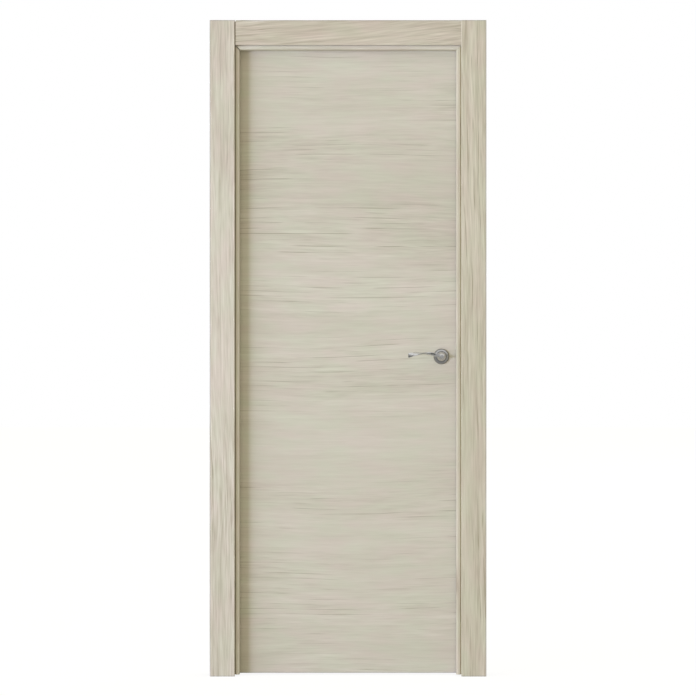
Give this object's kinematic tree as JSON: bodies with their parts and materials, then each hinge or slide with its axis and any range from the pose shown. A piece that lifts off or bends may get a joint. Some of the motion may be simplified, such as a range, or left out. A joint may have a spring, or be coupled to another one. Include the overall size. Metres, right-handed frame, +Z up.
{
  "type": "interior door",
  "caption": "Flush interior door in pale horizontal-grain veneer, hung in a mitred rebated frame with flat architraves, butt hinges, a tubular latch and twisted lever handles on round roses.",
  "frame": {"origin": "on the wall face of the hinge jamb, at the jamb's foot and halfway through the depth of the frame", "axes": "+X across the doorway to the latch jamb, +Y from the push side to the pull side where the leaf opens, +Z up"},
  "size_m": [0.9035, 0.147, 2.1293],
  "materials": {
    "frame_veneer": "matt lacquered pale wood veneer, grain along each piece",
    "leaf_veneer": "matt lacquered pale wood veneer, grain across the leaf",
    "leaf_timber": "sawn softwood",
    "leaf_board": "raw particle board",
    "seal_rubber": "matt",
    "satin_metal": "satin"
  },
  "bodies": {
    "frame": {"hinge_jamb": "frame_veneer", "latch_jamb": "frame_veneer", "head_jamb": "frame_veneer", "hinge_stop": "frame_veneer", "latch_stop": "frame_veneer", "head_stop": "frame_veneer", "front_hinge_architrave": "frame_veneer", "front_latch_architrave": "frame_veneer", "front_head_architrave": "frame_veneer", "back_hinge_architrave": "frame_veneer", "back_latch_architrave": "frame_veneer", "back_head_architrave": "frame_veneer", "hinge_seal": "seal_rubber", "latch_seal": "seal_rubber", "head_seal": "seal_rubber", "strike_plate": "satin_metal", "top_hinge_frame_flap": "satin_metal", "middle_hinge_frame_flap": "satin_metal", "bottom_hinge_frame_flap": "satin_metal", "top_hinge_pin": "satin_metal", "middle_hinge_pin": "satin_metal", "bottom_hinge_pin": "satin_metal"},
    "leaf": {"leaf_front_panel": "leaf_veneer", "leaf_back_panel": "leaf_veneer", "leaf_hinge_edge_band": "leaf_veneer", "leaf_latch_edge_band": "leaf_veneer", "leaf_hinge_stile": "leaf_timber", "leaf_latch_stile": "leaf_timber", "leaf_top_rail": "leaf_timber", "leaf_bottom_rail": "leaf_timber", "leaf_core": "leaf_board", "top_hinge_leaf_flap": "satin_metal", "middle_hinge_leaf_flap": "satin_metal", "bottom_hinge_leaf_flap": "satin_metal", "latch_faceplate": "satin_metal", "latch_case": "satin_metal", "latch_bolt": "satin_metal", "front_rose": "satin_metal", "back_rose": "satin_metal"},
    "handles": {"front_lever": "satin_metal", "back_lever": "satin_metal", "handle_spindle": "satin_metal"}
  },
  "joints": [
    {"name": "leaf_swing", "type": "hinge", "parent": "frame", "child": "leaf", "pos_m": [0.0195, 0.042, 1], "axis": [0, 0, 1], "range_deg": [0, 170]},
    {"name": "lever_turn", "type": "hinge", "parent": "leaf", "child": "handles", "pos_m": [0.689, 0.0175, 1.0305], "axis": [0, -1, 0], "range_deg": [0, 40], "stiffness_Nm_per_rad": 1.2, "springref_deg": -22.92}
  ]
}
